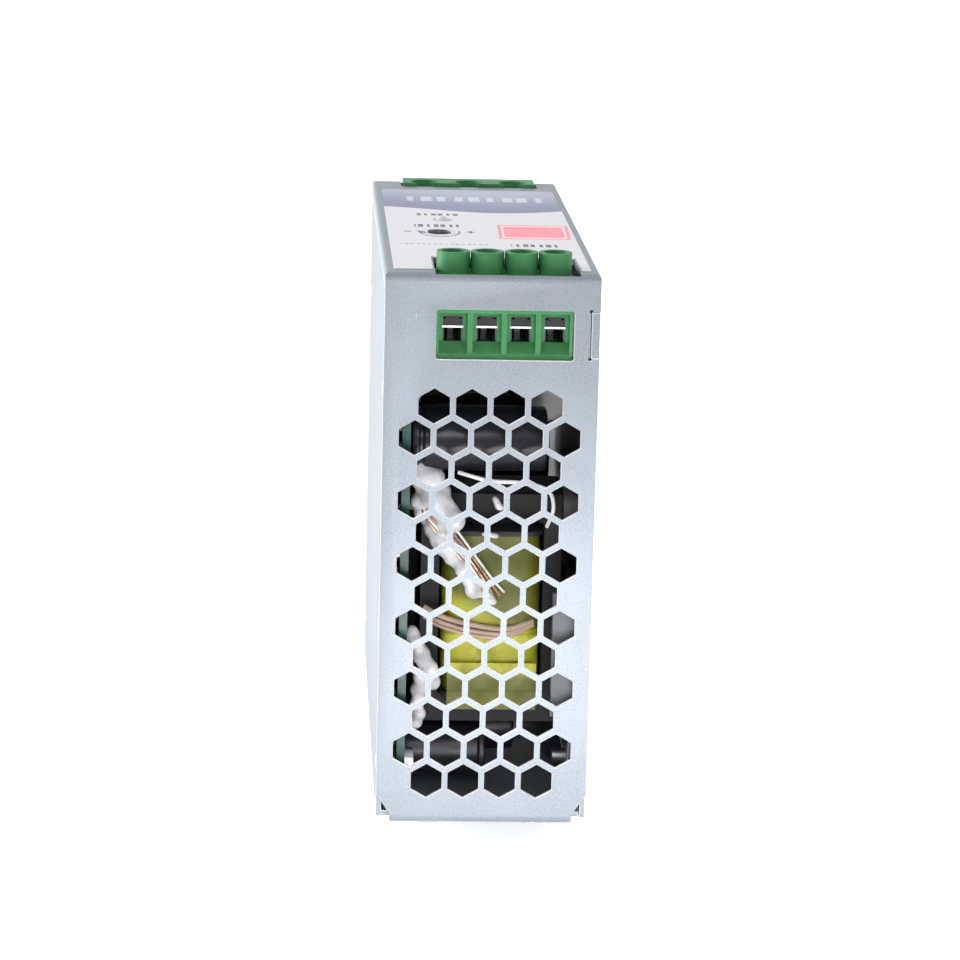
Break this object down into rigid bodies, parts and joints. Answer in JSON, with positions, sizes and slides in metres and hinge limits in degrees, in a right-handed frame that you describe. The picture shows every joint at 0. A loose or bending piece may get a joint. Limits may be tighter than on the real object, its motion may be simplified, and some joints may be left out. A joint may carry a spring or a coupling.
{
  "type": "din rail power supply",
  "caption": "Slim enclosed power supply for a 35 mm top-hat rail, with hexagonal vents, screw terminals, adjustment trimmer and sprung rail latch.",
  "frame": {"origin": "middle of the underside, in the plane of the rail hooks' backs, centred on the width and length", "axes": "+Z out of the front panel, +X across the narrow width, along the rail, +Y from the output end to the input end"},
  "size_m": [0.04, 0.1252, 0.1167],
  "materials": {
    "case_metal": "fine matt zinc-like sheet",
    "label_film": "printed matt film",
    "steel": "zinc plated",
    "insulation": "matt film",
    "brass": "machined",
    "board": "green solder mask",
    "green_plastic": "moulded, fine matt",
    "tin": "tin plated",
    "blue_plastic": "moulded",
    "white_plastic": "moulded",
    "lens": "diffused lens, unlit",
    "ferrite": "sintered ferrite",
    "tape": "polyester tape",
    "bobbin_plastic": "moulded",
    "copper": "enamelled wire",
    "can_sleeve": "shrunk sleeve",
    "yellow_plastic": "moulded box",
    "glass_fuse": "glass tube with metal caps",
    "black_plastic": "moulded",
    "plate_grey": "dark anodised",
    "bracket_metal": "die cast",
    "steel_latch": "zinc plated",
    "spring_steel": "drawn wire",
    "screw_plate": "nickel plated"
  },
  "bodies": {
    "case": {"front_wrap": "case_metal", "chassis": "case_metal", "side_cover": "case_metal", "front_label": "label_film", "cover_screws": "steel", "lip_rivets": "steel", "insulation_sheet": "insulation", "board_standoffs": "brass", "board_screws": "steel", "main_board": "board", "output_board": "board", "input_board": "board", "output_housing": "green_plastic", "input_housing": "green_plastic", "output_contacts": "tin", "input_contacts": "tin", "trimmer_body": "blue_plastic", "status_light": "lens", "transformer_core": "ferrite", "transformer_winding": "tape", "transformer_bobbin": "bobbin_plastic", "choke_core": "ferrite", "choke_winding": "copper", "filter_core": "ferrite", "filter_winding": "copper", "bulk_capacitors": "can_sleeve", "output_capacitors": "can_sleeve", "film_capacitor": "yellow_plastic", "disc_capacitors": "blue_plastic", "fuse": "glass_fuse", "varistor": "blue_plastic", "thermistor": "black_plastic", "bridge_rectifier": "black_plastic", "primary_heatsink": "plate_grey", "primary_transistors": "black_plastic", "secondary_heatsink": "plate_grey", "output_rectifiers": "black_plastic", "alarm_relay": "white_plastic", "control_chips": "black_plastic", "output_choke": "can_sleeve", "rail_bracket": "bracket_metal", "bracket_screws": "steel", "latch_spring": "spring_steel"},
    "output_screw_1": {"output_screw_1": "screw_plate"},
    "output_clamp_1": {"output_clamp_1": "screw_plate"},
    "output_screw_2": {"output_screw_2": "screw_plate"},
    "output_clamp_2": {"output_clamp_2": "screw_plate"},
    "output_screw_3": {"output_screw_3": "screw_plate"},
    "output_clamp_3": {"output_clamp_3": "screw_plate"},
    "output_screw_4": {"output_screw_4": "screw_plate"},
    "output_clamp_4": {"output_clamp_4": "screw_plate"},
    "input_screw_1": {"input_screw_1": "screw_plate"},
    "input_clamp_1": {"input_clamp_1": "screw_plate"},
    "input_screw_2": {"input_screw_2": "screw_plate"},
    "input_clamp_2": {"input_clamp_2": "screw_plate"},
    "input_screw_3": {"input_screw_3": "screw_plate"},
    "input_clamp_3": {"input_clamp_3": "screw_plate"},
    "trimmer_rotor": {"trimmer_rotor": "black_plastic"},
    "rail_latch": {"rail_latch": "steel_latch"}
  },
  "joints": [
    {"name": "output_screw_1_turn", "type": "hinge", "parent": "case", "child": "output_screw_1", "pos_m": [-0.00728, -0.0558, 0.108], "axis": [0, 0, -1], "range_deg": [0, 1584.01]},
    {"name": "output_clamp_1_lift", "type": "slide", "parent": "case", "child": "output_clamp_1", "axis": [0, 0, 1], "range_m": [0, 0.0022]},
    {"name": "output_screw_2_turn", "type": "hinge", "parent": "case", "child": "output_screw_2", "pos_m": [-0.00093, -0.0558, 0.108], "axis": [0, 0, -1], "range_deg": [0, 1584.01]},
    {"name": "output_clamp_2_lift", "type": "slide", "parent": "case", "child": "output_clamp_2", "axis": [0, 0, 1], "range_m": [0, 0.0022]},
    {"name": "output_screw_3_turn", "type": "hinge", "parent": "case", "child": "output_screw_3", "pos_m": [0.00543, -0.0558, 0.108], "axis": [0, 0, -1], "range_deg": [0, 1584.01]},
    {"name": "output_clamp_3_lift", "type": "slide", "parent": "case", "child": "output_clamp_3", "axis": [0, 0, 1], "range_m": [0, 0.0022]},
    {"name": "output_screw_4_turn", "type": "hinge", "parent": "case", "child": "output_screw_4", "pos_m": [0.01178, -0.0558, 0.108], "axis": [0, 0, -1], "range_deg": [0, 1584.01]},
    {"name": "output_clamp_4_lift", "type": "slide", "parent": "case", "child": "output_clamp_4", "axis": [0, 0, 1], "range_m": [0, 0.0022]},
    {"name": "input_screw_1_turn", "type": "hinge", "parent": "case", "child": "input_screw_1", "pos_m": [-0.00875, 0.0558, 0.108], "axis": [0, 0, -1], "range_deg": [0, 1584.01]},
    {"name": "input_clamp_1_lift", "type": "slide", "parent": "case", "child": "input_clamp_1", "axis": [0, 0, 1], "range_m": [0, 0.0022]},
    {"name": "input_screw_2_turn", "type": "hinge", "parent": "case", "child": "input_screw_2", "pos_m": [0.00075, 0.0558, 0.108], "axis": [0, 0, -1], "range_deg": [0, 1584.01]},
    {"name": "input_clamp_2_lift", "type": "slide", "parent": "case", "child": "input_clamp_2", "axis": [0, 0, 1], "range_m": [0, 0.0022]},
    {"name": "input_screw_3_turn", "type": "hinge", "parent": "case", "child": "input_screw_3", "pos_m": [0.01025, 0.0558, 0.108], "axis": [0, 0, -1], "range_deg": [0, 1584.01]},
    {"name": "input_clamp_3_lift", "type": "slide", "parent": "case", "child": "input_clamp_3", "axis": [0, 0, 1], "range_m": [0, 0.0022]},
    {"name": "trimmer_turn", "type": "hinge", "parent": "case", "child": "trimmer_rotor", "pos_m": [-0.0082, -0.0126, 0.108], "axis": [0, 0, 1], "range_deg": [-130, 130]},
    {"name": "latch_slide", "type": "slide", "parent": "case", "child": "rail_latch", "axis": [0, 1, 0], "range_m": [0, 0.005], "stiffness_N_per_m": 1500, "springref_m": -0.003, "deforming": ["latch_spring"]}
  ],
  "couplings": [
    {"joint": "output_screw_1_turn", "follows": "output_clamp_1_lift", "rad_per_m": 12566},
    {"joint": "output_screw_2_turn", "follows": "output_clamp_2_lift", "rad_per_m": 12566},
    {"joint": "output_screw_3_turn", "follows": "output_clamp_3_lift", "rad_per_m": 12566},
    {"joint": "output_screw_4_turn", "follows": "output_clamp_4_lift", "rad_per_m": 12566},
    {"joint": "input_screw_1_turn", "follows": "input_clamp_1_lift", "rad_per_m": 12566},
    {"joint": "input_screw_2_turn", "follows": "input_clamp_2_lift", "rad_per_m": 12566},
    {"joint": "input_screw_3_turn", "follows": "input_clamp_3_lift", "rad_per_m": 12566}
  ]
}
